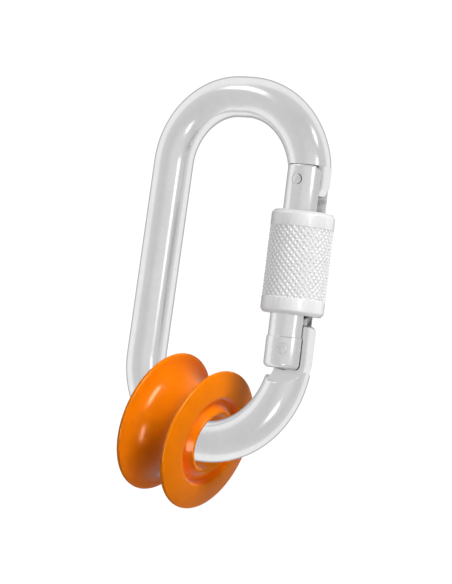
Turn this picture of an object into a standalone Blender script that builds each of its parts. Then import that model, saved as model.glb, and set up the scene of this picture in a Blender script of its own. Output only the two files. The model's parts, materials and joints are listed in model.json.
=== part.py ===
"""Zip line trolley: a grooved nylon sheave threaded on the lower bow of an oval screw-lock carabiner.

Blender 4.5. Metres, +Z up along the carabiner's long axis, with the sheave at the bottom. X runs from the
plain side of the frame to the gate, and Y is across the flat of the frame. The origin is the top of the
opening, inside the upper bow, where the carabiner hangs on its cord.
"""

from math import asin, atan2, cos, hypot, pi, radians, sin, tau

import bmesh
import bpy
from mathutils import Matrix, Vector

# Frame: a bent bar, slightly flattened across Y, and a little thicker where the gate meets it
LENGTH = 0.1114
BAR_RADIAL = 0.0059
BAR_RADIAL_AT_GATE = 0.0063
BAR_SIDE = 0.0055

# The bar's centreline: where each side lies, and the radius of each of its four corners
SPINE_TOP_X = -0.0226
SPINE_TOP_R = 0.0206
SPINE_FOOT_X = -0.0238
SPINE_FOOT_R = 0.0221
UPPER_END_X = 0.0246
UPPER_END_R = 0.0237
LOWER_END_X = 0.0256
LOWER_END_R = 0.0263

# Gate: a round bar between the frame's two ends. Its heights are counted from its foot
GATE_X = 0.0237
GATE_FOOT_Z = -0.0703
GATE_R = 0.0060
GATE_LENGTH = 0.0574
GATE_GAP = 0.00035
COLLAR_R = 0.0063
COLLAR_HEIGHT = 0.0089
FOOT_ROUND = 0.0015
HEAD_ROUND = 0.0005
SLOT_HALF = 0.00235
FOOT_SLOT_TOP = 0.0162
FOOT_SLOT_FLOOR = -0.0075
HEAD_SLOT_FOOT = 0.0442
HEAD_SLOT_FLOOR = -0.0034
HEAD_CHAMFER = 0.0020
SPRING_BORE_R = 0.0031
SPRING_BORE_TOP = 0.0262

# Frame ends: a tang that the gate's fork straddles, and a tongue that its head closes on
PLATE_HALF = 0.0020
TANG_PROUD = 0.0016
TONGUE_PROUD = 0.0003
PIVOT_OUT = 0.0022
PIVOT_HEIGHT = 0.0056
PIN_R = 0.0015
PIN_GAP = 0.0002
RIVET_HALF = 0.0056
LATCH_PIN_HALF = 0.0053
PIN_DOME = 0.0002
PIN_DISH = 0.0003
TANG_SHOULDER = 0.0028
TANG_TIP = 0.0070
BAR_END_HEIGHT = 0.0040
SEAT_CUT_R = 0.0090
SEAT_CUT_OUT = 0.0005
SEAT_CUT_HEIGHT = 0.0048
TONGUE_TIP = 0.0491
TONGUE_BEVEL = 0.0028
TONGUE_INNER = -0.0030
LATCH_OUT = 0.0001
LATCH_HEIGHT = 0.0531
LATCH_NOTCH_HALF = 0.0018

# Plunger and spring inside the gate
PLUNGER_R = 0.0029
PLUNGER_LENGTH = 0.0060
SPRING_R = 0.0024
SPRING_WIRE_R = 0.0003
SPRING_TURNS = 7
SPRING_STEPS = 14
SPRING_SIDES = 6

# Locking sleeve
SLEEVE_R = 0.0090
SLEEVE_BORE_R = 0.0063
SLEEVE_LENGTH = 0.0291
SLEEVE_HEIGHT = 0.0153
SLEEVE_CHAMFER = 0.0010
COUNTERBORE_R = 0.0074
COUNTERBORE_DEPTH = 0.0115

# Sheave: turned about its own tilted axis
SHEAVE_CENTRE = Vector((-0.0068, 0, -0.0914))
SHEAVE_TILT = radians(13)
RIM_R = 0.0208
RIM_HALF = 0.0087
RIM_ROUND = 0.0007
FACE_HALF = 0.0098
RECESS_R = 0.0133
RECESS_FLOOR_R = 0.0118
RECESS_FLOOR_HALF = 0.0072
HUB_R = 0.0092
HUB_HALF = 0.0103
BORE_R = 0.0082
MOUTH_ROUND = 0.0008
GROOVE_TOP_R = 0.0202
GROOVE_HALF = 0.0074
GROOVE_DEPTH = 0.0062

GAP = 0.0003
EDGE = 0.0003
CUT_PAST = 0.0010
CUT_HALF = 0.0080
BAR_SIDES = 24
BOW_STEPS = 13
SHEAVE_STEPS = 56
TURNED_STEPS = 40
PIN_STEPS = 20

TOP_Z = BAR_RADIAL
BOTTOM_Z = 3 * BAR_RADIAL - LENGTH
GATE_TOP_Z = GATE_FOOT_Z + GATE_LENGTH
PIVOT = Vector((GATE_X + PIVOT_OUT, 0, GATE_FOOT_Z + PIVOT_HEIGHT))
ALONG_Y = Matrix.Rotation(pi / 2, 4, "X")


def clear_scene():
    for obj in list(bpy.data.objects):
        bpy.data.objects.remove(obj, do_unlink=True)


def make_material(name, colour, roughness, metallic):
    material = bpy.data.materials.new(name)
    material.use_nodes = True
    shader = material.node_tree.nodes["Principled BSDF"]
    shader.inputs["Base Color"].default_value = (*colour, 1)
    shader.inputs["Roughness"].default_value = roughness
    shader.inputs["Metallic"].default_value = metallic
    return material


def add_object(name, bm, material=None, parent=None, smooth_below=radians(35)):
    """Stores a bmesh built in the parent's own axes as an object, smooth but for its sharp edges."""
    bmesh.ops.recalc_face_normals(bm, faces=bm.faces)
    mesh = bpy.data.meshes.new(name)
    bm.to_mesh(mesh)
    bm.free()
    mesh.shade_smooth()
    mesh.set_sharp_from_angle(angle=smooth_below)
    obj = bpy.data.objects.new(name, mesh)
    bpy.context.collection.objects.link(obj)
    obj.parent = parent
    if material:
        mesh.materials.append(material)
    return obj


def add_empty(name, location, parent=None):
    empty = bpy.data.objects.new(name, None)
    bpy.context.collection.objects.link(empty)
    empty.location = location
    empty.parent = parent
    return empty


def arc(centre, radius, start, end, steps):
    """Points on a circle in a plane, from one angle to another."""
    turn = (end - start) / steps
    return [
        (centre[0] + radius * cos(start + turn * i), centre[1] + radius * sin(start + turn * i))
        for i in range(steps + 1)
    ]


def turned(outline, steps, place=Matrix()):
    """A solid turned about Z from (radius, height) points. Open outlines start and end on the axis."""
    bm = bmesh.new()
    closed = min(radius for radius, _ in outline) > 0
    rings = []
    for radius, height in outline:
        count = steps if radius > 0 else 1
        rings.append([
            bm.verts.new((radius * cos(tau * i / steps), radius * sin(tau * i / steps), height))
            for i in range(count)
        ])
    pairs = list(zip(rings, rings[1:]))
    if closed:
        pairs.append((rings[-1], rings[0]))
    for lower, upper in pairs:
        for i in range(steps):
            corners = [lower[i % len(lower)], lower[(i + 1) % len(lower)],
                       upper[(i + 1) % len(upper)], upper[i % len(upper)]]
            bm.faces.new(list(dict.fromkeys(corners)))
    bmesh.ops.transform(bm, matrix=place, verts=bm.verts)
    return bm


def plate(outline, half_width):
    """A plate with an (x, z) outline, centred on the frame's plane."""
    bm = bmesh.new()
    near = [bm.verts.new((x, -half_width, z)) for x, z in outline]
    far = [bm.verts.new((x, half_width, z)) for x, z in outline]
    bm.faces.new(near)
    bm.faces.new(far)
    for i in range(len(outline)):
        j = (i + 1) % len(outline)
        bm.faces.new([near[i], near[j], far[j], far[i]])
    return bm


def tube(rings):
    """A bar through rings of points, closed by a cap at each end."""
    bm = bmesh.new()
    loops = [[bm.verts.new(point) for point in ring] for ring in rings]
    sides = len(loops[0])
    for first, second in zip(loops, loops[1:]):
        for i in range(sides):
            j = (i + 1) % sides
            bm.faces.new([first[i], first[j], second[j], second[i]])
    bm.faces.new(loops[0])
    bm.faces.new(loops[-1])
    return bm


def combine(obj, operation, tool_bm, parent=None):
    """Cuts a hidden shape out of an object, or joins it on."""
    tool = add_object(f"{obj.name}_tool_{len(obj.modifiers)}", tool_bm, parent=parent)
    tool.hide_render = True
    tool.display_type = "WIRE"
    boolean = obj.modifiers.new(tool.name, "BOOLEAN")
    boolean.operation = operation
    boolean.solver = "EXACT"
    boolean.object = tool


def pin_cutter(x, z, radius, half_length):
    """A round cutter along Y."""
    outline = [(0, -half_length), (radius, -half_length), (radius, half_length), (0, half_length)]
    return turned(outline, PIN_STEPS, Matrix.Translation((x, 0, z)) @ ALONG_Y)


def smooth_step(share):
    share = min(1, max(0, share))
    return share * share * (3 - 2 * share)


def frame_path():
    """Centreline (x, z) of the bar, from its lower end by the gate, round to its upper end."""
    lower_end = (LOWER_END_X - LOWER_END_R, BOTTOM_Z + LOWER_END_R)
    spine_foot = (SPINE_FOOT_X + SPINE_FOOT_R, BOTTOM_Z + SPINE_FOOT_R)
    spine_top = (SPINE_TOP_X + SPINE_TOP_R, TOP_Z - SPINE_TOP_R)
    upper_end = (UPPER_END_X - UPPER_END_R, TOP_Z - UPPER_END_R)
    across, up = spine_top[0] - spine_foot[0], spine_top[1] - spine_foot[1]
    lean = atan2(across, up) + asin((SPINE_FOOT_R - SPINE_TOP_R) / hypot(across, up))
    end_angle = asin((GATE_TOP_Z + GATE_GAP - upper_end[1]) / UPPER_END_R)
    return [
        (LOWER_END_X, GATE_FOOT_Z + BAR_END_HEIGHT),
        *arc(lower_end, LOWER_END_R, 0, -pi / 2, BOW_STEPS),
        *arc(spine_foot, SPINE_FOOT_R, -pi / 2, -pi - lean, BOW_STEPS),
        *arc(spine_top, SPINE_TOP_R, pi - lean, pi / 2, BOW_STEPS),
        *arc(upper_end, UPPER_END_R, pi / 2, end_angle, BOW_STEPS),
    ]


def frame_rings():
    """Elliptical sections along the bar, thickening over the last quarter turn on the gate's side."""
    path = frame_path()
    rings = []
    for i, (x, z) in enumerate(path):
        before, after = path[max(i - 1, 0)], path[min(i + 1, len(path) - 1)]
        along = Vector((after[0] - before[0], 0, after[1] - before[1])).normalized()
        if i in (0, len(path) - 1):
            along = Vector((0, 0, -1))
        outward = Vector((-along.z, 0, along.x))
        swell = smooth_step(x / UPPER_END_X)
        radial = BAR_RADIAL + (BAR_RADIAL_AT_GATE - BAR_RADIAL) * swell
        ring = []
        for k in range(BAR_SIDES):
            turn = tau * k / BAR_SIDES
            offset = outward * radial * cos(turn) + Vector((0, BAR_SIDE * sin(turn), 0))
            ring.append(Vector((x, 0, z)) + offset)
        rings.append(ring)
    return rings


def tang_outline():
    """The lower end's plate, from inside the bar up to the plunger's shoulder and the tip at the outside."""
    outer = GATE_X + GATE_R + TANG_PROUD - PIVOT.x
    points = [
        (-0.0050, -0.0130), (-0.0066, -0.0095), (-0.0051, -0.0073), (-0.0047, -0.0050), (-0.0048, 0),
        (-0.0049, TANG_SHOULDER - 0.0008), (-0.0043, TANG_SHOULDER), (0.0005, TANG_SHOULDER),
        (0.0012, TANG_SHOULDER + 0.0008), (0.0012, TANG_TIP - 0.0010), (0.0018, TANG_TIP - 0.0003),
        (0.0028, TANG_TIP), (outer - 0.0006, TANG_TIP - 0.0008), (outer, TANG_TIP - 0.0020),
        (outer, -0.0040), (outer - 0.0007, -0.0080), (outer - 0.0022, -0.0130),
    ]
    return [(PIVOT.x + x, PIVOT.z + z) for x, z in points]


def tongue_outline():
    """The upper end's plate: a bevelled tip, and a notch open towards the loop for the latch pin."""
    outer = GATE_R + TONGUE_PROUD
    notch_end = LATCH_OUT + LATCH_NOTCH_HALF
    notch = arc((LATCH_OUT, LATCH_HEIGHT), LATCH_NOTCH_HALF, -pi / 2, pi / 2, 8)
    points = [
        (TONGUE_INNER, TONGUE_TIP + 0.0006), (TONGUE_INNER + 0.0006, TONGUE_TIP),
        (outer - 0.0012, TONGUE_TIP), (outer, TONGUE_TIP + TONGUE_BEVEL),
        (outer, GATE_LENGTH - 0.0020), (outer - 0.0008, GATE_LENGTH + 0.0016),
        (outer - 0.0026, GATE_LENGTH + 0.0050), (outer - 0.0060, GATE_LENGTH + 0.0080),
        (TONGUE_INNER + 0.0010, GATE_LENGTH + 0.0080), (TONGUE_INNER, GATE_LENGTH),
        (TONGUE_INNER, LATCH_HEIGHT + LATCH_NOTCH_HALF + 0.0004),
        (TONGUE_INNER + 0.0004, LATCH_HEIGHT + LATCH_NOTCH_HALF),
        *reversed(notch),
        (TONGUE_INNER + 0.0004, LATCH_HEIGHT - LATCH_NOTCH_HALF),
        (TONGUE_INNER, LATCH_HEIGHT - LATCH_NOTCH_HALF - 0.0004),
    ]
    return [(GATE_X + x, GATE_FOOT_Z + z) for x, z in points]


def make_frame(material):
    frame = add_object("carabiner_frame", tube(frame_rings()), material)
    seat = (GATE_X + SEAT_CUT_OUT, GATE_FOOT_Z + SEAT_CUT_HEIGHT)
    combine(frame, "DIFFERENCE", pin_cutter(*seat, SEAT_CUT_R, CUT_HALF))
    combine(frame, "UNION", plate(tang_outline(), PLATE_HALF))
    combine(frame, "UNION", plate(tongue_outline(), PLATE_HALF))
    combine(frame, "DIFFERENCE", pin_cutter(PIVOT.x, PIVOT.z, PIN_R + PIN_GAP, CUT_HALF / 2))


def gate_outline():
    """Half the gate's profile from the foot up: rounded foot, collar, plain bar and rounded head."""
    foot = [(radius, height) for radius, height in
            arc((COLLAR_R - FOOT_ROUND, FOOT_ROUND), FOOT_ROUND, -pi / 2, 0, 5)]
    head = arc((GATE_R - HEAD_ROUND, GATE_LENGTH - HEAD_ROUND), HEAD_ROUND, 0, pi / 2, 3)
    return [(0, 0), *foot, (COLLAR_R, COLLAR_HEIGHT - 0.0002), (COLLAR_R - 0.0002, COLLAR_HEIGHT),
            (GATE_R, COLLAR_HEIGHT), *head, (0, GATE_LENGTH)]


def slot_cutter(floor, low, high, half_width):
    outside = COLLAR_R + CUT_PAST
    return plate([(floor, low), (outside, low), (outside, high), (floor, high)], half_width)


def make_gate(pivot, gate_foot, aluminium, steel):
    """The gate and the two pins pressed into it, built about its own axis and carried by the pivot empty."""
    gate = add_object("gate_body", turned(gate_outline(), TURNED_STEPS), aluminium, gate_foot)
    foot_slot = slot_cutter(FOOT_SLOT_FLOOR, -CUT_PAST, FOOT_SLOT_TOP, SLOT_HALF)
    head_slot = slot_cutter(HEAD_SLOT_FLOOR, HEAD_SLOT_FOOT, GATE_LENGTH + CUT_PAST, SLOT_HALF)
    drill_point = SPRING_BORE_R * 0.4
    bore = [(0, -CUT_PAST), (SPRING_BORE_R, -CUT_PAST), (SPRING_BORE_R, SPRING_BORE_TOP),
            (0, SPRING_BORE_TOP + drill_point)]
    chamfer = plate([
        (GATE_R - HEAD_CHAMFER, GATE_LENGTH + 0.0001),
        (GATE_R + CUT_PAST, GATE_LENGTH - HEAD_CHAMFER * 1.5),
        (GATE_R + CUT_PAST, GATE_LENGTH + 0.0001),
    ], COLLAR_R + CUT_PAST)
    rivet_hole = pin_cutter(PIVOT_OUT, PIVOT_HEIGHT, PIN_R + PIN_GAP, CUT_HALF)
    latch_hole = pin_cutter(LATCH_OUT, LATCH_HEIGHT, PIN_R + PIN_GAP, CUT_HALF)
    for cutter in (foot_slot, head_slot, turned(bore, 24), chamfer, rivet_hole, latch_hole):
        combine(gate, "DIFFERENCE", cutter, gate_foot)

    for name, out, height, half_length, dome in (
        ("hinge_rivet", PIVOT_OUT, PIVOT_HEIGHT, RIVET_HALF, PIN_DOME),
        ("latch_pin", LATCH_OUT, LATCH_HEIGHT, LATCH_PIN_HALF, -PIN_DISH),
    ):
        outline = [(0, -half_length - dome), (PIN_R - EDGE, -half_length), (PIN_R, EDGE - half_length),
                   (PIN_R, half_length - EDGE), (PIN_R - EDGE, half_length), (0, half_length + dome)]
        pin = add_object(name, turned(outline, PIN_STEPS, ALONG_Y), steel, pivot)
        pin.location = Vector((GATE_X + out, 0, GATE_FOOT_Z + height)) - PIVOT


def make_plunger_and_spring(plunger_empty, gate_foot, steel):
    """A plunger that the spring presses on the tang's shoulder, which swings the gate shut."""
    foot = PIVOT_HEIGHT + TANG_SHOULDER + GAP
    outline = [(0, 0), (PLUNGER_R - 2 * EDGE, 0), (PLUNGER_R, 2 * EDGE), (PLUNGER_R, PLUNGER_LENGTH - EDGE),
               (PLUNGER_R - EDGE, PLUNGER_LENGTH), (0, PLUNGER_LENGTH)]
    add_object("spring_plunger", turned(outline, 24), steel, plunger_empty)

    low = foot + PLUNGER_LENGTH + GAP + SPRING_WIRE_R
    high = SPRING_BORE_TOP - GAP - SPRING_WIRE_R
    steps = SPRING_TURNS * SPRING_STEPS
    rings = []
    for i in range(steps + 1):
        turn = tau * SPRING_TURNS * i / steps
        centre = Vector((SPRING_R * cos(turn), SPRING_R * sin(turn), low + (high - low) * i / steps))
        out = Vector((cos(turn), sin(turn), 0))
        rings.append([
            centre + SPRING_WIRE_R * (out * cos(wire_turn) + Vector((0, 0, 1)) * sin(wire_turn))
            for wire_turn in (tau * k / SPRING_SIDES for k in range(SPRING_SIDES))
        ])
    add_object("gate_spring", tube(rings), steel, gate_foot)


def make_sleeve(sleeve_empty, material):
    """The locking sleeve: chamfered ends, a plain bore, and a counterbore that closes on the gate's head."""
    top = SLEEVE_LENGTH
    outline = [
        (SLEEVE_BORE_R + EDGE, 0), (SLEEVE_R - SLEEVE_CHAMFER, 0), (SLEEVE_R, SLEEVE_CHAMFER),
        (SLEEVE_R, top - SLEEVE_CHAMFER), (SLEEVE_R - SLEEVE_CHAMFER, top), (COUNTERBORE_R + EDGE, top),
        (COUNTERBORE_R, top - EDGE), (COUNTERBORE_R, top - COUNTERBORE_DEPTH),
        (SLEEVE_BORE_R, top - COUNTERBORE_DEPTH - 2 * EDGE), (SLEEVE_BORE_R, EDGE),
    ]
    add_object("locking_sleeve", turned(outline, TURNED_STEPS), material, sleeve_empty)


def sheave_half_outline():
    """(radius, half width) points from the bore's middle over the hub, recess and rim to the groove."""
    mouth = arc((BORE_R + MOUTH_ROUND, HUB_HALF - MOUTH_ROUND), MOUTH_ROUND, pi, pi / 2, 4)
    rim = arc((RIM_R - RIM_ROUND, RIM_HALF - RIM_ROUND), RIM_ROUND, pi / 2, -pi / 3, 6)
    groove = [
        (GROOVE_TOP_R - GROOVE_DEPTH * sin(turn), GROOVE_HALF * cos(turn))
        for turn in (radians(degrees) for degrees in (14, 26, 38, 50, 62, 76, 90))
    ]
    return [
        (BORE_R, 0), *mouth, (HUB_R, HUB_HALF), (HUB_R + 0.0004, HUB_HALF - 0.0004),
        (RECESS_FLOOR_R - 0.0006, RECESS_FLOOR_HALF), (RECESS_FLOOR_R + 0.0004, RECESS_FLOOR_HALF),
        (RECESS_R - 0.0004, FACE_HALF - 0.0002), (RECESS_R + 0.0003, FACE_HALF),
        (RIM_R - 0.0035, RIM_HALF + 0.0010), *rim, *groove,
    ]


def make_sheave(material):
    half = sheave_half_outline()
    outline = half + [(radius, -height) for radius, height in reversed(half[1:-1])]
    axle = add_empty("sheave_axis", SHEAVE_CENTRE)
    axle.rotation_euler = (0, pi / 2 + SHEAVE_TILT, 0)
    add_object("sheave", turned(outline, SHEAVE_STEPS), material, axle)


def main():
    clear_scene()
    aluminium = make_material("polished_aluminium", (0.86, 0.87, 0.88), 0.22, 1.0)
    steel = make_material("plain_steel", (0.62, 0.62, 0.63), 0.30, 1.0)
    nylon = make_material("orange_nylon", (0.93, 0.24, 0.01), 0.28, 0.0)

    make_frame(aluminium)
    pivot = add_empty("gate_pivot", PIVOT)
    gate_foot = add_empty("gate_foot", Vector((GATE_X, 0, GATE_FOOT_Z)) - PIVOT, pivot)
    make_gate(pivot, gate_foot, aluminium, steel)
    plunger = add_empty("plunger_slide", (0, 0, PIVOT_HEIGHT + TANG_SHOULDER + GAP), gate_foot)
    make_plunger_and_spring(plunger, gate_foot, steel)
    sleeve = add_empty("sleeve_slide", (0, 0, SLEEVE_HEIGHT), gate_foot)
    make_sleeve(sleeve, aluminium)
    make_sheave(nylon)


main()
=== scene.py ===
import json
from math import asin, atan2, ceil, cos, hypot, pi, radians, sin, tan, tau

import bmesh
import bpy
import numpy as np
from mathutils import Matrix, Quaternion, Vector


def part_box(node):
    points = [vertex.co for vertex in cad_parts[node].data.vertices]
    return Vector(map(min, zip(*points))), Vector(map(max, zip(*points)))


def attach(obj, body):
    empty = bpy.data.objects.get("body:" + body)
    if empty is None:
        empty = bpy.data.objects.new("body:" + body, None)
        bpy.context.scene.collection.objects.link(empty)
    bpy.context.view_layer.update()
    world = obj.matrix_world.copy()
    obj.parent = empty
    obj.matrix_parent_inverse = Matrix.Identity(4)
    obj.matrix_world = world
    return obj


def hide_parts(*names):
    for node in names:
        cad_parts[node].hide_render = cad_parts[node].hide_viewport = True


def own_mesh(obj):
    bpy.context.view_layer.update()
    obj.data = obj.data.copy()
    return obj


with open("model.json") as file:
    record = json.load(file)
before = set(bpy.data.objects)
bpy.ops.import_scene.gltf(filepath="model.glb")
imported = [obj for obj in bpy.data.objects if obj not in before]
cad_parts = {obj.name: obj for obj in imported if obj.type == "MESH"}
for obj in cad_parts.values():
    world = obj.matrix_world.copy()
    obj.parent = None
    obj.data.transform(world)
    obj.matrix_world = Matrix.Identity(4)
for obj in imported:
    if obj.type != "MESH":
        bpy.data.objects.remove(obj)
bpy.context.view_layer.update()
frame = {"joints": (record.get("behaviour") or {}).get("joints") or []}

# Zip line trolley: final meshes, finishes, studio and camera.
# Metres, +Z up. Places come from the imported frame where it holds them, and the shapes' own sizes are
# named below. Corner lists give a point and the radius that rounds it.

JOINTS = {joint["name"]: joint for joint in frame["joints"]}
FRAME_LOW, FRAME_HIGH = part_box("carabiner_frame")
GATE_LOW, GATE_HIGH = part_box("gate_body")
SLEEVE_LOW, SLEEVE_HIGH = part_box("locking_sleeve")
SPRING_LOW, SPRING_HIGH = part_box("gate_spring")
PLUNGER_LOW, PLUNGER_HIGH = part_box("spring_plunger")
RIVET_LOW, RIVET_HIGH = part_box("hinge_rivet")
LATCH_LOW, LATCH_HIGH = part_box("latch_pin")
SHEAVE_CENTRE = Vector(JOINTS["sheave_spin"]["pos_m"])
SHEAVE_AXIS = Vector(JOINTS["sheave_spin"]["axis"]).normalized()
PIVOT = Vector(JOINTS["gate_hinge"]["pos_m"])

# Frame bar
BAR_RADIAL = 0.0059
BAR_RADIAL_AT_GATE = 0.0063
BAR_SIDE = FRAME_HIGH.y
TOP_Z = FRAME_HIGH.z - BAR_RADIAL
BOTTOM_Z = FRAME_LOW.z + BAR_RADIAL
SPINE_TOP_X = -0.0226
SPINE_TOP_R = 0.0206
SPINE_FOOT_X = -0.0238
SPINE_FOOT_R = 0.0221
UPPER_END_X = 0.0246
UPPER_END_R = 0.0237
LOWER_END_X = 0.0256
LOWER_END_R = 0.0263
BAR_SIDES = 72
BAR_STEP = 0.0009
LOWER_END_STUB = 0.0040

# Gate
COLLAR_R = GATE_HIGH.y
GATE_X = GATE_LOW.x + COLLAR_R
GATE_R = 0.0060
GATE_FOOT_Z = GATE_LOW.z
GATE_LENGTH = GATE_HIGH.z - GATE_LOW.z
GATE_GAP = 0.0001
COLLAR_HEIGHT = 0.0089
COLLAR_ROUND = 0.00025
COLLAR_FILLET = 0.0001
FOOT_ROUND = 0.0015
HEAD_ROUND = 0.0006
SLOT_HALF = 0.00235
FOOT_SLOT_TOP = 0.0162
FOOT_SLOT_FLOOR = -0.0075
HEAD_SLOT_FOOT = 0.0442
HEAD_SLOT_FLOOR = -0.0034
HEAD_CHAMFER = 0.0020
SPRING_BORE_R = 0.0031
SPRING_BORE_TOP = 0.0262
SPRING_BORE_CONE = 0.0012
THREAD_LOW = 0.0190
THREAD_HIGH = 0.0335
THREAD_PITCH = 0.0010
THREAD_DEPTH = 0.0004
THREAD_CREST_END = 0.15
THREAD_ROOT_START = 0.52
THREAD_ROOT_END = 0.63
GATE_SIDES = 144

# Plates on the frame's two ends, and the two cross pins
PLATE_HALF = 0.0020
PLATE_EDGE = 0.00035
TANG_PROUD = 0.0016
TONGUE_PROUD = 0.0003
TANG_ROOT = -0.0130
TANG_SHOULDER = 0.0028
TANG_STEP = 0.0012
TANG_TIP = 0.0070
SEAT_CUT_R = 0.0090
SEAT_CUT_OUT = 0.0005
SEAT_CUT_HEIGHT = 0.0048
TONGUE_TIP = 0.0491
TONGUE_BEVEL = 0.0028
TONGUE_INNER = -0.0030
TONGUE_INSIDE = TONGUE_INNER + 0.0010
TONGUE_ROOT = 0.0080
LATCH_OUT = 0.0001
LATCH_HEIGHT = 0.0531
LATCH_NOTCH_HALF = 0.0018
PIN_R = 0.0015
PIN_GAP = 0.0001
PRESS_GAP = PIN_GAP / 4
PIN_SIDES = 64

# Eased edges, and how far the cutters reach past what they cut
FRAME_EDGE = 0.0003
FRAME_EDGE_ANGLE = radians(50)
GATE_EDGE = 0.00018
PIN_EDGE = 0.00012
CUT_PAST = 0.0010
CUT_HALF = 0.0080
CHAMFER_CUT_HALF = 0.0070

# Spring and plunger
PLUNGER_R = PLUNGER_HIGH.y
PLUNGER_NOSE_R = 0.0008
PLUNGER_BACK_R = 0.0003
SPRING_WIRE_R = 0.0003
SPRING_R = SPRING_HIGH.y - SPRING_WIRE_R
SPRING_TURNS = 7
SPRING_STEPS = 40
WIRE_SIDES = 12

# Sleeve
SLEEVE_R = SLEEVE_HIGH.y
SLEEVE_LENGTH = SLEEVE_HIGH.z - SLEEVE_LOW.z
SLEEVE_BORE_R = 0.0063
SLEEVE_CHAMFER = 0.0010
SLEEVE_CHAMFER_IN = 0.8 * SLEEVE_CHAMFER
COUNTERBORE_R = 0.0074
COUNTERBORE_DEPTH = 0.0115
KNURL_MARGIN = 0.0043
KNURL_DEPTH = 0.00042
KNURL_AROUND = 32
KNURL_PITCH = 0.0018
KNURL_FACETS = 12
KNURL_FLAT_TIP = 1.25
KNURL_FADE = 0.0004

# Sheave
RIM_R = 0.0208
RIM_HALF = 0.0087
RIM_ROUND = 0.0007
FACE_HALF = 0.0098
RECESS_R = 0.0133
RECESS_FLOOR_R = 0.0118
RECESS_FLOOR_HALF = 0.0072
HUB_R = 0.0092
HUB_HALF = 0.0103
BORE_R = 0.0082
BORE_STRAIGHT = 0.0040
MOUTH_ROUND = 0.0008
GROOVE_TOP_R = 0.0202
GROOVE_HALF = 0.0074
GROOVE_DEPTH = 0.0062
GROOVE_LIP_DEG = 12
GROOVE_STEPS = 26
SHEAVE_SIDES = 192

# Tones
BRIGHT_TONE = (0.93, 0.93, 0.935)
KNURL_TONE = (0.97, 0.97, 0.975)
PIN_TONE = (0.90, 0.90, 0.905)
PLUNGER_TONE = (0.82, 0.82, 0.83)
WIRE_TONE = (0.56, 0.56, 0.57)
NYLON_DEEP = (0.90, 0.205, 0.0010)
NYLON_CLEAN = (0.98, 0.230, 0.0010)
NYLON_PALE = (0.98, 0.275, 0.005)
NYLON_SHEEN = (1.0, 0.62, 0.42, 1)
NYLON_IOR = 1.15
NYLON_SCUFF_WIDTH = 0.0012
NYLON_RING_PITCH = 0.00032

# Camera: the aim point is the middle of the picture
CAMERA_AZIMUTH = radians(33.6)
CAMERA_ELEVATION = radians(-1.67)
CAMERA_ROLL = radians(7.0)
CAMERA_DISTANCE = 0.678
CAMERA_LENS = 145.7
CAMERA_TARGET = Vector((0, 0, -0.0495))
AIM_RIGHT = 0.0008
AIM_UP = -0.0011

# Studio
AMBIENT = 0.17
BACKDROP = 1.05
LIGHT_DISTANCE = 1.2
FLOOR_RADIUS = 0.45
FLOOR_DROP = 0.060
FLOOR_GLOW = 0.60

ALONG_Y = Matrix.Rotation(pi / 2, 4, "X")
TINY = 1e-6
NEARLY_STRAIGHT = 0.02


# ---------------------------------------------------------------- mesh helpers

def arc(centre, radius, start, end, steps):
    """Points on a circle in a plane, from one angle to another."""
    turn = (end - start) / steps
    return [
        (centre[0] + radius * cos(start + turn * i), centre[1] + radius * sin(start + turn * i))
        for i in range(steps + 1)
    ]


def rounded(corners, steps=4, closed=True):
    """An outline whose corners (x, y, radius) are rounded by arcs that touch both neighbours."""
    count = len(corners)
    outline = []
    for i, (x, y, radius) in enumerate(corners):
        inner = closed or 0 < i < count - 1
        if radius == 0 or not inner:
            outline.append((x, y))
            continue
        here = Vector((x, y))
        before = (Vector(corners[i - 1][:2]) - here).normalized()
        after = (Vector(corners[(i + 1) % count][:2]) - here).normalized()
        half = before.angle(after) / 2
        if half > pi / 2 - NEARLY_STRAIGHT:
            outline.append((x, y))
            continue
        reach = radius / tan(half)
        centre = here + (before + after).normalized() * radius / sin(half)
        first, last = here + before * reach - centre, here + after * reach - centre
        start = atan2(first.y, first.x)
        sweep = (atan2(last.y, last.x) - start + pi) % tau - pi
        outline += arc(centre, radius, start, start + sweep, steps)
    return outline


def turned(outline, steps, place=Matrix()):
    """A solid turned about Z from (radius, height) points. Open outlines start and end on the axis."""
    bm = bmesh.new()
    closed = min(radius for radius, _ in outline) > 0
    rings = []
    for radius, height in outline:
        count = steps if radius > 0 else 1
        rings.append([
            bm.verts.new((radius * cos(tau * i / steps), radius * sin(tau * i / steps), height))
            for i in range(count)
        ])
    pairs = list(zip(rings, rings[1:]))
    if closed:
        pairs.append((rings[-1], rings[0]))
    for lower, upper in pairs:
        for i in range(steps):
            corners = [lower[i % len(lower)], lower[(i + 1) % len(lower)],
                       upper[(i + 1) % len(upper)], upper[i % len(upper)]]
            bm.faces.new(list(dict.fromkeys(corners)))
    bmesh.ops.transform(bm, matrix=place, verts=bm.verts)
    return bm


def plate(outline, half_width, edge=0.0):
    """A plate with an (x, z) outline, centred on the frame's plane, its rims eased by edge."""
    bm = bmesh.new()
    near = [bm.verts.new((x, -half_width, z)) for x, z in outline]
    far = [bm.verts.new((x, half_width, z)) for x, z in outline]
    faces = [bm.faces.new(near), bm.faces.new(far)]
    for i in range(len(outline)):
        j = (i + 1) % len(outline)
        bm.faces.new([near[i], near[j], far[j], far[i]])
    if edge:
        rims = [e for face in faces for e in face.edges]
        bmesh.ops.recalc_face_normals(bm, faces=bm.faces)
        bmesh.ops.bevel(bm, geom=rims, offset=edge, segments=3, profile=0.5, affect="EDGES")
    return bm


def tube(rings):
    """A bar through rings of points, closed by a cap at each end."""
    bm = bmesh.new()
    loops = [[bm.verts.new(point) for point in ring] for ring in rings]
    sides = len(loops[0])
    for first, second in zip(loops, loops[1:]):
        for i in range(sides):
            j = (i + 1) % sides
            bm.faces.new([first[i], first[j], second[j], second[i]])
    bm.faces.new(loops[0])
    bm.faces.new(loops[-1])
    return bm


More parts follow.
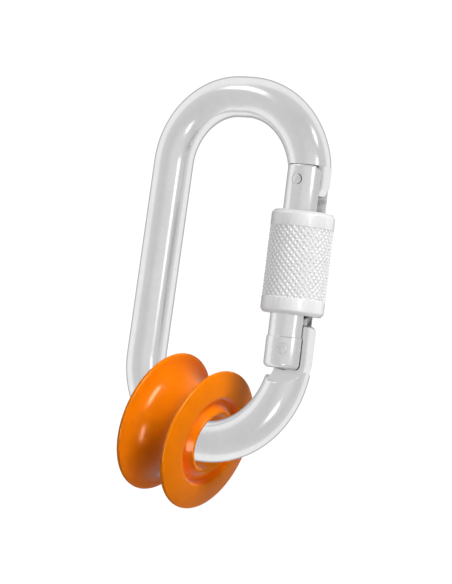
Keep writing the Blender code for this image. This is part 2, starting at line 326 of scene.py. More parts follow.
def add_piece(name, bm, place=Matrix()):
    """A new object in the scene, made from a finished shape."""
    bmesh.ops.recalc_face_normals(bm, faces=bm.faces)
    mesh = bpy.data.meshes.new(name)
    bm.to_mesh(mesh)
    bm.free()
    obj = bpy.data.objects.new(name, mesh)
    bpy.context.scene.collection.objects.link(obj)
    obj.matrix_world = place
    return obj


def combine(obj, operation, tool_bm):
    """Cuts a shape out of an object, or joins it on. Both are in the object's own axes."""
    tool = add_piece(f"{obj.name}_tool", tool_bm, obj.matrix_world.copy())
    boolean = obj.modifiers.new("boolean", "BOOLEAN")
    boolean.operation = operation
    boolean.solver = "EXACT"
    boolean.object = tool
    bake(obj)
    bpy.data.objects.remove(tool, do_unlink=True)


def bake(obj):
    """Keeps what the modifiers make as the object's own mesh."""
    bpy.context.view_layer.update()
    shown = obj.evaluated_get(bpy.context.evaluated_depsgraph_get())
    mesh = bpy.data.meshes.new_from_object(shown)
    obj.modifiers.clear()
    obj.data = mesh


def ease_edges(obj, width, sharper_than=radians(38)):
    """Rounds off the sharp edges of a machined piece, so that they catch the light."""
    bevel = obj.modifiers.new("eased_edges", "BEVEL")
    bevel.width = width
    bevel.segments = 2
    bevel.limit_method = "ANGLE"
    bevel.angle_limit = sharper_than
    bake(obj)


def finish_piece(obj, body, slot, material, *nodes, smooth_below=radians(40)):
    """Shades a piece, gives it its finish, hangs it on its body and hides the imported parts that it
    replaces.
    """
    obj.data.shade_smooth()
    obj.data.set_sharp_from_angle(angle=smooth_below)
    obj.data.materials.clear()
    obj.data.materials.append(material)
    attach(obj, body)
    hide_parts(*nodes)
    return obj


def pin_cutter(x, z, radius, half_length, steps=PIN_SIDES):
    """A round cutter along Y."""
    outline = [(0, -half_length), (radius, -half_length), (radius, half_length), (0, half_length)]
    return turned(outline, steps, Matrix.Translation((x, 0, z)) @ ALONG_Y)


def smooth_step(share):
    """Eases a share between 0 and 1 in and out."""
    share = min(1, max(0, share))
    return share * share * (3 - 2 * share)


# ---------------------------------------------------------------- materials

def new_material(name):
    """A material whose Principled shader the caller fills in."""
    material = bpy.data.materials.new(name)
    material.use_nodes = True
    tree = material.node_tree
    shader = tree.nodes["Principled BSDF"]
    return material, tree, shader


def add_node(tree, kind, inputs=None, **settings):
    """A node with its settings, and inputs given as values or as other nodes' outputs."""
    node = tree.nodes.new(kind)
    for key, value in settings.items():
        setattr(node, key, value)
    for key, value in (inputs or {}).items():
        if isinstance(value, bpy.types.NodeSocket):
            tree.links.new(value, node.inputs[key])
        else:
            node.inputs[key].default_value = value
    return node


def noise(tree, coords, scale, detail, roughness):
    """Cloudy noise, as a value round 0.5."""
    inputs = {"Vector": coords, "Scale": scale, "Detail": detail, "Roughness": roughness}
    return add_node(tree, "ShaderNodeTexNoise", inputs).outputs["Fac"]


def stretch(tree, coords, scale):
    """Coordinates scaled by a different amount along each axis."""
    return add_node(tree, "ShaderNodeMapping", {"Vector": coords, "Scale": scale}).outputs["Vector"]


def spread(tree, value, low, high, from_low=0.3, from_high=0.7):
    """Maps a texture's range onto low to high."""
    inputs = {"Value": value, "From Min": from_low, "From Max": from_high, "To Min": low, "To Max": high}
    return add_node(tree, "ShaderNodeMapRange", inputs).outputs["Result"]


def combine_values(tree, operation, first, second=0.0):
    """One step of arithmetic on two values. Some operations use only the first."""
    return add_node(tree, "ShaderNodeMath", {0: first, 1: second}, operation=operation).outputs["Value"]


def shaded(tone, share):
    """A darker tone of the same hue."""
    return tuple(channel * share for channel in tone)


def ramp(tree, value, stops):
    """Colours between (place, colour) stops."""
    node = add_node(tree, "ShaderNodeValToRGB", {"Fac": value})
    elements = node.color_ramp.elements
    while len(elements) < len(stops):
        elements.new(0.5)
    for element, (place, colour) in zip(elements, stops):
        element.position = place
        element.color = (*colour, 1)
    return node.outputs["Color"]


def bump(tree, height, depth, strength, normal=None):
    """Surface relief of a given depth in metres."""
    inputs = {"Height": height, "Distance": depth, "Strength": strength}
    if normal is not None:
        inputs["Normal"] = normal
    return add_node(tree, "ShaderNodeBump", inputs).outputs["Normal"]


def object_coords(tree):
    """Coordinates in the piece's own axes, in metres."""
    return add_node(tree, "ShaderNodeTexCoord").outputs["Object"]


def radius_from_axis(tree, coords):
    """Distance from the piece's own Z axis."""
    split = add_node(tree, "ShaderNodeSeparateXYZ", {"Vector": coords})
    across = combine_values(tree, "MULTIPLY", split.outputs["X"], split.outputs["X"])
    deep = combine_values(tree, "MULTIPLY", split.outputs["Y"], split.outputs["Y"])
    return combine_values(tree, "SQRT", combine_values(tree, "ADD", across, deep))


def polished_metal(name, tone, rough_low, rough_high, hairline, coords_from=None):
    """Polished metal: hairlines along the grain, faint handling marks and a duller, greyer haze."""
    material, tree, shader = new_material(name)
    if coords_from:
        coords = add_node(tree, "ShaderNodeAttribute", attribute_name=coords_from).outputs["Vector"]
    else:
        coords = object_coords(tree)
    haze = noise(tree, coords, scale=130.0, detail=4.0, roughness=0.55)
    marks = noise(tree, coords, scale=900.0, detail=3.0, roughness=0.6)
    lines = noise(tree, stretch(tree, coords, hairline), scale=1.0, detail=2.0, roughness=0.6)
    duller = combine_values(tree, "ADD", combine_values(tree, "MULTIPLY", haze, 0.6),
                            combine_values(tree, "MULTIPLY", marks, 0.4))
    tree.links.new(spread(tree, duller, rough_low, rough_high), shader.inputs["Roughness"])
    dark = shaded(tone, 0.93)
    tree.links.new(ramp(tree, duller, [(0.35, tone), (0.70, dark)]), shader.inputs["Base Color"])
    drawn = bump(tree, lines, depth=0.000004, strength=0.35)
    relief = bump(tree, marks, depth=0.000006, strength=0.20, normal=drawn)
    tree.links.new(relief, shader.inputs["Normal"])
    shader.inputs["Metallic"].default_value = 1.0
    return material


def knurled_metal(name, tone):
    """Cut knurl: colour painted darker down into the valleys as shade and lightest on the tips, random
    grime, and fine turning lines on the plain bands.
    """
    material, tree, shader = new_material(name)
    coords = object_coords(tree)
    radius = radius_from_axis(tree, coords)
    tips = spread(tree, radius, low=0.0, high=1.0, from_low=SLEEVE_R - KNURL_DEPTH, from_high=SLEEVE_R)
    grime = noise(tree, coords, scale=260.0, detail=4.0, roughness=0.6)
    # Painted shade: the tone darkens from the knurl's tips down into its valleys, standing in for the shade
    # in the grooves; the grime noise only adds random tone.
    valley_shade = shaded(tone, 0.88)
    slope_shade = shaded(tone, 0.97)
    valley_shade_and_grime = combine_values(tree, "ADD", tips, spread(tree, grime, low=-0.12, high=0.12))
    colour = ramp(tree, valley_shade_and_grime, [(0.05, valley_shade), (0.45, slope_shade), (0.90, tone)])
    tree.links.new(colour, shader.inputs["Base Color"])
    rough = spread(tree, valley_shade_and_grime, low=0.42, high=0.33, from_low=0.0, from_high=1.0)
    tree.links.new(rough, shader.inputs["Roughness"])
    around = stretch(tree, coords, (300.0, 300.0, 14000.0))
    lines = noise(tree, around, scale=1.0, detail=2.0, roughness=0.6)
    tree.links.new(bump(tree, lines, depth=0.000005, strength=0.35), shader.inputs["Normal"])
    shader.inputs["Metallic"].default_value = 0.45
    return material


def turned_steel(name, tone, rough):
    """Plain steel pins and wire: drawn or turned marks and a slight oily cast."""
    material, tree, shader = new_material(name)
    coords = object_coords(tree)
    marks = noise(tree, coords, scale=1500.0, detail=4.0, roughness=0.6)
    drawn = stretch(tree, coords, (2000.0, 9000.0, 2000.0))
    lines = noise(tree, drawn, scale=1.0, detail=2.0, roughness=0.6)
    tree.links.new(spread(tree, marks, low=rough - 0.06, high=rough + 0.10), shader.inputs["Roughness"])
    dark = shaded(tone, 0.80)
    tree.links.new(ramp(tree, marks, [(0.30, dark), (0.60, tone)]), shader.inputs["Base Color"])
    tree.links.new(bump(tree, lines, depth=0.000004, strength=0.4), shader.inputs["Normal"])
    shader.inputs["Metallic"].default_value = 1.0
    return material


def nylon(name):
    """Turned orange nylon: faint tool rings, mottled gloss, and paler scuffs where the rims have rubbed."""
    material, tree, shader = new_material(name)
    coords = object_coords(tree)
    radius = radius_from_axis(tree, coords)
    mottle = noise(tree, coords, scale=140.0, detail=4.0, roughness=0.6)
    grain = noise(tree, coords, scale=2600.0, detail=2.0, roughness=0.5)
    scuffs = noise(tree, coords, scale=700.0, detail=5.0, roughness=0.7)
    edge = spread(tree, radius, low=0.0, high=1.0, from_low=RIM_R - NYLON_SCUFF_WIDTH, from_high=RIM_R)
    patchy = spread(tree, scuffs, low=0.0, high=1.0, from_low=0.45, from_high=0.70)
    scuffed = combine_values(tree, "MULTIPLY", edge, patchy)
    paler = combine_values(tree, "MULTIPLY", scuffed, 0.45)
    shade = combine_values(tree, "ADD", spread(tree, mottle, low=0.25, high=0.55), paler)
    colour = ramp(tree, shade, [(0.20, NYLON_DEEP), (0.50, NYLON_CLEAN), (1.0, NYLON_PALE)])
    tree.links.new(colour, shader.inputs["Base Color"])
    duller = combine_values(tree, "MULTIPLY", scuffed, 0.15)
    gloss = combine_values(tree, "ADD", spread(tree, mottle, low=0.17, high=0.25), duller)
    tree.links.new(gloss, shader.inputs["Roughness"])
    rings = combine_values(tree, "SINE", combine_values(tree, "MULTIPLY", radius, tau / NYLON_RING_PITCH))
    turned_rings = bump(tree, rings, depth=0.000002, strength=0.25)
    relief = bump(tree, grain, depth=0.000006, strength=0.25, normal=turned_rings)
    tree.links.new(relief, shader.inputs["Normal"])
    shader.inputs["IOR"].default_value = NYLON_IOR
    shader.inputs["Specular Tint"].default_value = NYLON_SHEEN
    return material


# ---------------------------------------------------------------- frame

def fine_arc(centre, radius, start, end):
    """An arc whose steps are about as long as the bar's."""
    return arc(centre, radius, start, end, ceil(radius * abs(end - start) / BAR_STEP))


def frame_path():
    """Centreline (x, z) of the bar, from its lower end by the gate, round to its upper end."""
    lower_end = (LOWER_END_X - LOWER_END_R, BOTTOM_Z + LOWER_END_R)
    spine_foot = (SPINE_FOOT_X + SPINE_FOOT_R, BOTTOM_Z + SPINE_FOOT_R)
    spine_top = (SPINE_TOP_X + SPINE_TOP_R, TOP_Z - SPINE_TOP_R)
    upper_end = (UPPER_END_X - UPPER_END_R, TOP_Z - UPPER_END_R)
    across, up = spine_top[0] - spine_foot[0], spine_top[1] - spine_foot[1]
    lean = atan2(across, up) + asin((SPINE_FOOT_R - SPINE_TOP_R) / hypot(across, up))
    gate_top = GATE_FOOT_Z + GATE_LENGTH + GATE_GAP
    end_angle = asin((gate_top - upper_end[1]) / UPPER_END_R)
    corners = [
        (LOWER_END_X, GATE_FOOT_Z + LOWER_END_STUB),
        *fine_arc(lower_end, LOWER_END_R, 0, -pi / 2),
        *fine_arc(spine_foot, SPINE_FOOT_R, -pi / 2, -pi - lean),
        *fine_arc(spine_top, SPINE_TOP_R, pi - lean, pi / 2),
        *fine_arc(upper_end, UPPER_END_R, pi / 2, end_angle),
    ]
    path = [corners[0]]
    for x, z in corners[1:]:
        last_x, last_z = path[-1]
        length = hypot(x - last_x, z - last_z)
        steps = max(1, ceil(length / (BAR_STEP * 1.5)))
        if length > TINY:
            path += [(last_x + (x - last_x) * k / steps, last_z + (z - last_z) * k / steps)
                     for k in range(1, steps + 1)]
    return path


def frame_rings():
    """Elliptical sections along the bar, thickening over the last quarter turn on the gate's side."""
    path = frame_path()
    rings = []
    for i, (x, z) in enumerate(path):
        before, after = path[max(i - 1, 0)], path[min(i + 1, len(path) - 1)]
        along = Vector((after[0] - before[0], 0, after[1] - before[1])).normalized()
        if i in (0, len(path) - 1):
            along = Vector((0, 0, -1))
        outward = Vector((-along.z, 0, along.x))
        swell = smooth_step(x / UPPER_END_X)
        radial = BAR_RADIAL + (BAR_RADIAL_AT_GATE - BAR_RADIAL) * swell
        ring = []
        for k in range(BAR_SIDES):
            turn = tau * k / BAR_SIDES
            across = Vector((0, BAR_SIDE * sin(turn), 0))
            ring.append(Vector((x, 0, z)) + outward * radial * cos(turn) + across)
        rings.append(ring)
    return rings


def tang_outline():
    """The lower end's plate, from inside the bar up to the plunger's shoulder and the outer tip."""
    outer = GATE_X + GATE_R + TANG_PROUD - PIVOT.x
    corners = [
        (-0.0050, TANG_ROOT, 0), (-0.0066, -0.0095, 0.0004), (-0.0045, -0.0062, 0.0040),
        (-0.0049, TANG_SHOULDER, 0.0007), (TANG_STEP, TANG_SHOULDER, 0.0006),
        (TANG_STEP, TANG_TIP, 0.0012), (outer, TANG_TIP, 0.0017), (outer, -0.0040, 0.0040),
        (outer - 0.0022, TANG_ROOT, 0),
    ]
    return rounded([(PIVOT.x + x, PIVOT.z + z, radius) for x, z, radius in corners], 6)


def tongue_outline():
    """The upper end's plate: a bevelled tip, and a notch open towards the loop for the latch pin."""
    outer = GATE_R + TONGUE_PROUD
    notch = arc((LATCH_OUT, LATCH_HEIGHT), LATCH_NOTCH_HALF, pi / 2, -pi / 2, 16)
    upper_lip, lower_lip = LATCH_HEIGHT + LATCH_NOTCH_HALF, LATCH_HEIGHT - LATCH_NOTCH_HALF
    lower = rounded([
        (TONGUE_INSIDE, lower_lip, 0), (TONGUE_INNER, lower_lip, 0.0004),
        (TONGUE_INNER, TONGUE_TIP, 0.0006), (outer - 0.0012, TONGUE_TIP, 0.0004),
        (outer, TONGUE_TIP + TONGUE_BEVEL, 0.0010), (outer, GATE_LENGTH - 0.0002, 0.0030),
        (outer - 0.0026, GATE_LENGTH + 0.0050, 0.0030), (outer - 0.0060, GATE_LENGTH + TONGUE_ROOT, 0),
    ], 5, closed=False)
    upper = rounded([
        (TONGUE_INSIDE, GATE_LENGTH + TONGUE_ROOT, 0), (TONGUE_INNER, GATE_LENGTH, 0),
        (TONGUE_INNER, upper_lip, 0.0004), (TONGUE_INSIDE, upper_lip, 0),
    ], 5, closed=False)
    return [(GATE_X + x, GATE_FOOT_Z + z) for x, z in lower + upper + notch]


def straighten(obj, path):
    """Stores where each point would be if the bar were straight, so that its grain can follow the bends."""
    count = len(obj.data.vertices)
    points = np.empty(count * 3, np.float32)
    obj.data.vertices.foreach_get("co", points)
    points = points.reshape(-1, 3).astype(float)
    line = np.array(path)
    steps = np.hypot(*np.diff(line, axis=0).T)
    run = np.concatenate(([0.0], np.cumsum(steps)))
    tangent = np.gradient(line, axis=0)
    tangent /= np.linalg.norm(tangent, axis=1, keepdims=True)
    offset = points[:, None, [0, 2]] - line[None]
    nearest = (offset ** 2).sum(2).argmin(1)
    rest = offset[np.arange(count), nearest]
    along = (rest * tangent[nearest]).sum(1)
    out = rest[:, 1] * tangent[nearest][:, 0] - rest[:, 0] * tangent[nearest][:, 1]
    straight = np.stack([out, points[:, 1], run[nearest] + along], axis=1).astype(np.float32)
    attribute = obj.data.attributes.new("straight", "FLOAT_VECTOR", "POINT")
    attribute.data.foreach_set("vector", straight.ravel())


def make_frame(material):
    """The bent bar, cut back to a seat round the gate's foot, with a plate on each end."""
    obj = add_piece("forged_frame", tube(frame_rings()))
    seat = (GATE_X + SEAT_CUT_OUT, GATE_FOOT_Z + SEAT_CUT_HEIGHT)
    combine(obj, "DIFFERENCE", pin_cutter(*seat, SEAT_CUT_R, CUT_HALF, 200))
    combine(obj, "UNION", plate(tang_outline(), PLATE_HALF, PLATE_EDGE))
    combine(obj, "UNION", plate(tongue_outline(), PLATE_HALF, PLATE_EDGE))
    combine(obj, "DIFFERENCE", pin_cutter(PIVOT.x, PIVOT.z, PIN_R + PIN_GAP, 2 * PLATE_HALF))
    ease_edges(obj, FRAME_EDGE, sharper_than=FRAME_EDGE_ANGLE)
    straighten(obj, frame_path())
    finish_piece(obj, "frame", "frame", material, "carabiner_frame", smooth_below=radians(32))


# ---------------------------------------------------------------- gate

def thread_outline():
    """A few even turns cut round the gate, standing in for the sleeve's fine thread."""
    turns = int((THREAD_HIGH - THREAD_LOW) / THREAD_PITCH)
    points = []
    for k in range(turns):
        low = THREAD_LOW + k * THREAD_PITCH
        points += [
            (GATE_R, low), (GATE_R, low + THREAD_PITCH * THREAD_CREST_END),
            (GATE_R - THREAD_DEPTH, low + THREAD_PITCH * THREAD_ROOT_START),
            (GATE_R - THREAD_DEPTH, low + THREAD_PITCH * THREAD_ROOT_END),
        ]
    return points + [(GATE_R, THREAD_HIGH)]


def gate_outline():
    """Half the gate's profile from the foot up: round foot, collar, plain bar, thread and head."""
    foot = rounded([
        (0, 0, 0), (COLLAR_R, 0, FOOT_ROUND), (COLLAR_R, COLLAR_HEIGHT, COLLAR_ROUND),
        (GATE_R, COLLAR_HEIGHT, COLLAR_FILLET), (GATE_R, COLLAR_HEIGHT + 0.0010, 0),
    ], 8, closed=False)
    head = rounded([
        (GATE_R, GATE_LENGTH - 0.0020, 0), (GATE_R, GATE_LENGTH, HEAD_ROUND), (0, GATE_LENGTH, 0),
    ], 6, closed=False)
    return foot + thread_outline() + head


def slot_cutter(floor, low, high, half_width):
    """A flat-sided cutter, open on the gate's outer side."""
    outside = COLLAR_R + CUT_PAST
    return plate([(floor, low), (outside, low), (outside, high), (floor, high)], half_width)


def make_gate(material):
    """The turned gate, slotted at both ends, bored for its spring and drilled for its two pins."""
    place = Matrix.Translation((GATE_X, 0, GATE_FOOT_Z))
    obj = add_piece("turned_gate", turned(gate_outline(), GATE_SIDES), place)
    bore = [
        (0, -CUT_PAST), (SPRING_BORE_R, -CUT_PAST), (SPRING_BORE_R, SPRING_BORE_TOP),
        (0, SPRING_BORE_TOP + SPRING_BORE_CONE),
    ]
    chamfer = [
        (GATE_R - HEAD_CHAMFER, GATE_LENGTH + 0.0001),
        (GATE_R + CUT_PAST, GATE_LENGTH - HEAD_CHAMFER * 1.5),
        (GATE_R + CUT_PAST, GATE_LENGTH + 0.0001),
    ]
    pivot_out, pivot_height = PIVOT.x - GATE_X, PIVOT.z - GATE_FOOT_Z
    for tool in (
        slot_cutter(FOOT_SLOT_FLOOR, -CUT_PAST, FOOT_SLOT_TOP, SLOT_HALF),
        slot_cutter(HEAD_SLOT_FLOOR, HEAD_SLOT_FOOT, GATE_LENGTH + CUT_PAST, SLOT_HALF),
        turned(bore, PIN_SIDES),
        plate(chamfer, CHAMFER_CUT_HALF),
        pin_cutter(pivot_out, pivot_height, PIN_R + PRESS_GAP, CUT_HALF),
        pin_cutter(LATCH_OUT, LATCH_HEIGHT, PIN_R + PRESS_GAP, CUT_HALF),
    ):
        combine(obj, "DIFFERENCE", tool)
    ease_edges(obj, GATE_EDGE)
    finish_piece(obj, "gate", "gate", material, "gate_body", smooth_below=radians(35))


def make_pins(material):
    """Two pins pressed through the gate, their ends ground flush with the round they come out of."""
    for name, node, low, high, round_r in (
        ("rivet", "hinge_rivet", RIVET_LOW, RIVET_HIGH, COLLAR_R),
        ("latch_crosspin", "latch_pin", LATCH_LOW, LATCH_HIGH, GATE_R),
    ):
        centre = (low + high) / 2
        half = round_r + CUT_PAST / 2
        rod = [(0, -half), (PIN_R, -half), (PIN_R, half), (0, half)]
        obj = add_piece(name, turned(rod, PIN_SIDES, Matrix.Translation(centre) @ ALONG_Y))
        bottom, top = low.z - CUT_PAST, high.z + CUT_PAST
        ground = [(0, bottom), (round_r, bottom), (round_r, top), (0, top)]
        combine(obj, "INTERSECT", turned(ground, GATE_SIDES, Matrix.Translation((GATE_X, 0, 0))))
        ease_edges(obj, PIN_EDGE)
        finish_piece(obj, "gate", "pins", material, node)


def make_spring_and_plunger(steel, wire):
    """The capped plunger, and the coil behind it."""
    cap_length = PLUNGER_HIGH.z - PLUNGER_LOW.z
    nose = arc((PLUNGER_R - PLUNGER_NOSE_R, PLUNGER_NOSE_R), PLUNGER_NOSE_R, -pi / 2, 0, 6)
    back_centre = (PLUNGER_R - PLUNGER_BACK_R, cap_length - PLUNGER_BACK_R)
    back = arc(back_centre, PLUNGER_BACK_R, 0, pi / 2, 4)
    place = Matrix.Translation((GATE_X, 0, PLUNGER_LOW.z))
    cap = add_piece("plunger_cap", turned([(0, 0), *nose, *back, (0, cap_length)], PIN_SIDES), place)
    finish_piece(cap, "plunger", "pins", steel, "spring_plunger")

    low, high = SPRING_LOW.z + SPRING_WIRE_R, SPRING_HIGH.z - SPRING_WIRE_R
    steps = SPRING_TURNS * SPRING_STEPS
    section = [(cos(tau * k / WIRE_SIDES), sin(tau * k / WIRE_SIDES)) for k in range(WIRE_SIDES)]
    rings = []
    for i in range(steps + 1):
        turn = tau * SPRING_TURNS * i / steps
        out = Vector((cos(turn), sin(turn), 0))
        centre = Vector((GATE_X, 0, low + (high - low) * i / steps)) + out * SPRING_R
        rings.append([
            centre + SPRING_WIRE_R * (out * across + Vector((0, 0, 1)) * up)
            for across, up in section
        ])
    coil = add_piece("closing_spring", tube(rings))
    finish_piece(coil, "gate", "spring", wire, "gate_spring")
    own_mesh(coil)


# ---------------------------------------------------------------- sleeve

def triangle_wave(value):
    """0 at whole numbers, 1 halfway between them."""
    return 1 - abs(2 * (value % 1) - 1)


def make_sleeve(material):
    """A turned sleeve, its middle band cut into small pyramids by two crossing sets of grooves."""
    top = SLEEVE_LENGTH
    steps = KNURL_AROUND * KNURL_FACETS
    knurl_low, knurl_high = KNURL_MARGIN, top - KNURL_MARGIN
    rows = ceil((knurl_high - knurl_low) / (KNURL_PITCH / KNURL_FACETS))
    lower = rounded([
        (SLEEVE_BORE_R, 0.0020, 0), (SLEEVE_BORE_R, 0, 0.0004),
        (SLEEVE_R - SLEEVE_CHAMFER_IN, 0, 0.0002),
        (SLEEVE_R, SLEEVE_CHAMFER, 0.0006), (SLEEVE_R, knurl_low, 0),
    ], 4, closed=False)
    upper = rounded([
        (SLEEVE_R, knurl_high, 0), (SLEEVE_R, top - SLEEVE_CHAMFER, 0.0006),
        (SLEEVE_R - SLEEVE_CHAMFER_IN, top, 0.0002),
        (COUNTERBORE_R, top, 0.0003), (COUNTERBORE_R, top - COUNTERBORE_DEPTH, 0.0002),
        (SLEEVE_BORE_R, top - COUNTERBORE_DEPTH - 0.0006, 0),
    ], 4, closed=False)
    middle = [(SLEEVE_R, knurl_low + (knurl_high - knurl_low) * (k + 0.5) / rows) for k in range(rows)]
    bm = turned(lower + middle + upper, steps)
    for vert in bm.verts:
        radius = hypot(vert.co.x, vert.co.y)
        depth_in = min(vert.co.z - knurl_low, knurl_high - vert.co.z)
        if radius < SLEEVE_R - TINY or depth_in < -TINY:
            continue
        around = atan2(vert.co.y, vert.co.x) / tau * KNURL_AROUND
        up = (vert.co.z - knurl_low) / KNURL_PITCH
        height = min(triangle_wave(around + up), triangle_wave(around - up))
        fade = smooth_step(depth_in / KNURL_FADE)
        cut = KNURL_DEPTH * (1 - min(1, height * KNURL_FLAT_TIP)) * fade
        scale = (radius - cut) / radius
        vert.co.x *= scale
        vert.co.y *= scale
    place = Matrix.Translation((GATE_X, 0, SLEEVE_LOW.z))
    obj = add_piece("knurled_sleeve", bm, place)
    finish_piece(obj, "sleeve", "sleeve", material, "locking_sleeve", smooth_below=radians(48))


# ---------------------------------------------------------------- sheave

def sheave_half_outline():
    """(radius, half width) points from the bore's middle, over the hub, recess and rim, to the groove."""
    mouth = arc((BORE_R + MOUTH_ROUND, HUB_HALF - MOUTH_ROUND), MOUTH_ROUND, pi, pi / 2, 8)
    face = rounded([
        (BORE_R + MOUTH_ROUND, HUB_HALF, 0), (HUB_R + 0.0002, HUB_HALF, 0.0004),
        (RECESS_FLOOR_R - 0.0008, RECESS_FLOOR_HALF, 0.0012),
        (RECESS_FLOOR_R + 0.0006, RECESS_FLOOR_HALF, 0.0006),
        (RECESS_R, FACE_HALF, 0.0006), (RIM_R - 0.0035, RIM_HALF + 0.0010, 0.0200),
        (RIM_R - RIM_ROUND, RIM_HALF, 0),
    ], 8, closed=False)
    rim = arc((RIM_R - RIM_ROUND, RIM_HALF - RIM_ROUND), RIM_ROUND, pi / 2, -pi / 3, 12)
    sweep_deg = 90 - GROOVE_LIP_DEG
    turns = [radians(GROOVE_LIP_DEG + sweep_deg * k / GROOVE_STEPS) for k in range(GROOVE_STEPS + 1)]
    groove = [(GROOVE_TOP_R - GROOVE_DEPTH * sin(turn), GROOVE_HALF * cos(turn)) for turn in turns]
    return [(BORE_R, 0), (BORE_R, BORE_STRAIGHT), *mouth[:-1], *face, *rim[1:], *groove]


def make_sheave(material):
    """The grooved wheel, turned about the axis that it spins on."""
    half = sheave_half_outline()
    outline = half + [(radius, -height) for radius, height in reversed(half[1:-1])]
    place = Matrix.Translation(SHEAVE_CENTRE) @ SHEAVE_AXIS.to_track_quat("Z", "Y").to_matrix().to_4x4()
    obj = add_piece("nylon_sheave", turned(outline, SHEAVE_SIDES), place)
    obj.visible_glossy = False
    finish_piece(obj, "sheave", "sheave", material, "sheave", smooth_below=radians(35))


# ---------------------------------------------------------------- studio

def direction(azimuth, elevation):
    """The way from the object towards a viewer or a light. Azimuth 0 is the -Y side."""
    return Vector((sin(azimuth) * cos(elevation), -cos(azimuth) * cos(elevation), sin(elevation)))


def camera_axes():
    """The camera's right, up and backward directions."""
    back = direction(CAMERA_AZIMUTH, CAMERA_ELEVATION)
    level = Vector((cos(CAMERA_AZIMUTH), sin(CAMERA_AZIMUTH), 0))
    plumb = back.cross(level)
    right = level * cos(CAMERA_ROLL) + plumb * sin(CAMERA_ROLL)
    up = plumb * cos(CAMERA_ROLL) - level * sin(CAMERA_ROLL)
    return right, up, back


def make_camera():
    """The scene's camera, aimed a little off the target to set where the object falls in the picture."""
    right, up, back = camera_axes()
    data = bpy.data.cameras.new("camera")
    data.lens = CAMERA_LENS
    data.sensor_width = 36.0
    data.clip_start, data.clip_end = 0.01, 20.0
    camera = bpy.data.objects.new("camera", data)
    bpy.context.scene.collection.objects.link(camera)
    place = CAMERA_TARGET + right * AIM_RIGHT + up * AIM_UP + back * CAMERA_DISTANCE
    camera.matrix_world = Matrix.Translation(place) @ Matrix((right, up, back)).transposed().to_4x4()
    bpy.context.scene.camera = camera


def make_world():
    """A pale tent that the metal mirrors: grey towards the camera, bright past the sides, dark behind.

    What the camera sees behind the object, and what lights matt surfaces, have levels of their own.
    """
    world = bpy.data.worlds.new("tent")
    bpy.context.scene.world = world
    world.use_nodes = True
    tree = world.node_tree
    tree.nodes.clear()
    looking = add_node(tree, "ShaderNodeTexCoord").outputs["Generated"]
    front = direction(CAMERA_AZIMUTH, CAMERA_ELEVATION)
    facing = add_node(tree, "ShaderNodeVectorMath", {0: looking, 1: front}, operation="DOT_PRODUCT")
    place = spread(tree, facing.outputs["Value"], low=0.0, high=1.0, from_low=-1.0, from_high=1.0)
    tent = ramp(tree, place, [
        (0.00, (0.42, 0.42, 0.43)), (0.09, (0.44, 0.44, 0.45)), (0.15, (0.90, 0.90, 0.90)),
        (0.46, (0.90, 0.90, 0.90)), (0.55, (0.67, 0.67, 0.67)), (0.85, (0.61, 0.61, 0.61)),
        (1.00, (0.74, 0.74, 0.74)),
    ])
    backdrop = add_node(tree, "ShaderNodeBackground", {"Color": (1, 1, 1, 1), "Strength": BACKDROP})
    mirrored = add_node(tree, "ShaderNodeBackground", {"Color": tent, "Strength": 1.0})
    ambient = add_node(tree, "ShaderNodeBackground", {"Color": (1, 1, 1, 1), "Strength": AMBIENT})
    path = add_node(tree, "ShaderNodeLightPath")
    indirect = add_node(tree, "ShaderNodeMixShader", {
        0: path.outputs["Is Diffuse Ray"], 1: mirrored.outputs[0], 2: ambient.outputs[0]})
    mix = add_node(tree, "ShaderNodeMixShader", {
        0: path.outputs["Is Camera Ray"], 1: indirect.outputs[0], 2: backdrop.outputs[0]})
    add_node(tree, "ShaderNodeOutputWorld", {"Surface": mix.outputs[0]})


def add_softbox(name, turn, lift, width, height, radiance, roll=0, mirrored=True, sheen_on=None):
    """A soft rectangular light, placed by its turn and lift, in degrees, from the camera's direction.

    mirrored=False keeps it out of reflections. sheen_on names the one piece that it lights, with a
    sheen and no diffuse light.
    """
    towards = direction(CAMERA_AZIMUTH + radians(turn), radians(lift))
    data = bpy.data.lights.new(name, "AREA")
    data.shape = "RECTANGLE"
    data.size, data.size_y = width, height
    data.energy = radiance * pi * width * height
    light = bpy.data.objects.new(name, data)
    bpy.context.scene.collection.objects.link(light)
    light.location = CAMERA_TARGET + towards * LIGHT_DISTANCE
    aim = towards.to_track_quat("Z", "Y") @ Quaternion((0, 0, 1), radians(roll))
    light.rotation_euler = aim.to_euler()
    light.visible_glossy = mirrored
    if sheen_on:
        lit = bpy.data.collections.new(f"lit_by_{name}")
        lit.objects.link(bpy.data.objects[sheen_on])
        light.light_linking.receiver_collection = lit
        light.visible_diffuse = False


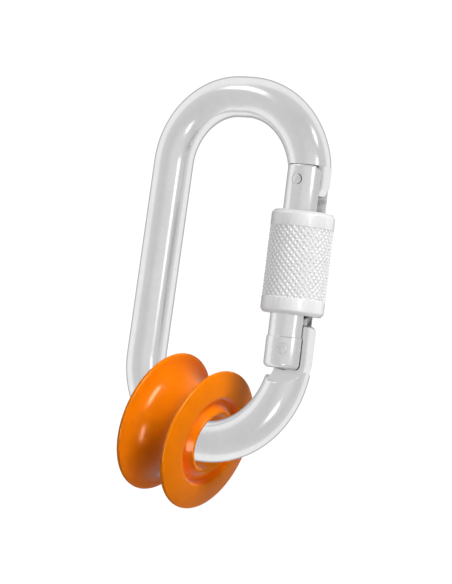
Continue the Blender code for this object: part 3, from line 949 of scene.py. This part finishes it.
def make_floor():
    """A pale table well under the trolley, bright enough to leave no edge against the backdrop.

    It neither shades the object nor shows in it, so the light is the same from every side.
    """
    bm = bmesh.new()
    bmesh.ops.create_circle(bm, cap_ends=True, segments=96, radius=FLOOR_RADIUS)
    floor = add_piece("pale_floor", bm, Matrix.Translation((0, 0, FRAME_LOW.z - FLOOR_DROP)))
    material, _, shader = new_material("pale_floor")
    shader.inputs["Base Color"].default_value = (0.90, 0.90, 0.90, 1)
    shader.inputs["Roughness"].default_value = 0.8
    shader.inputs["Emission Color"].default_value = (1, 1, 1, 1)
    shader.inputs["Emission Strength"].default_value = FLOOR_GLOW
    floor.data.materials.append(material)
    floor.visible_glossy = False
    floor.visible_diffuse = False
    floor.visible_shadow = False


def make_studio():
    """The tent, the table, the camera, and the lights: first those the metal mirrors, then the
    sheave's two highlights, then the broad ones.
    """
    make_world()
    make_floor()
    make_camera()
    add_softbox("strip_right", turn=23, lift=12, width=0.20, height=0.50, radiance=1.5)
    add_softbox("high_right", turn=38, lift=46, width=0.22, height=0.20, radiance=2.0)
    add_softbox("low_left", turn=-13, lift=-32, width=0.30, height=0.18, radiance=1.5)
    add_softbox("pale_left", turn=-70, lift=38, width=0.30, height=0.34, radiance=0.9)
    add_softbox("sheave_high", turn=28, lift=24, width=0.28, height=0.78, radiance=150.0, roll=-45,
                sheen_on="nylon_sheave")
    add_softbox("sheave_low", turn=-16, lift=-35, width=0.30, height=0.60, radiance=85.0,
                sheen_on="nylon_sheave")
    add_softbox("key_above", turn=30, lift=46, width=0.6, height=0.6, radiance=10.5, mirrored=False)
    add_softbox("fill_low", turn=32, lift=-20, width=0.6, height=0.6, radiance=3.0, mirrored=False)
    add_softbox("fill_back", turn=172, lift=32, width=0.8, height=0.8, radiance=3.4, mirrored=False)
    bpy.context.scene.view_settings.view_transform = "Standard"


make_frame(polished_metal("polished_frame", BRIGHT_TONE, rough_low=0.13, rough_high=0.24,
                          hairline=(2500.0, 2500.0, 60.0), coords_from="straight"))
make_gate(polished_metal("polished_gate", BRIGHT_TONE, rough_low=0.14, rough_high=0.24,
                         hairline=(300.0, 300.0, 9000.0)))
make_pins(turned_steel("pin_steel", PIN_TONE, rough=0.26))
make_spring_and_plunger(turned_steel("plunger_steel", PLUNGER_TONE, rough=0.30),
                        turned_steel("spring_wire", WIRE_TONE, rough=0.30))
make_sleeve(knurled_metal("knurled_aluminium", KNURL_TONE))
make_sheave(nylon("orange_nylon"))
make_studio()
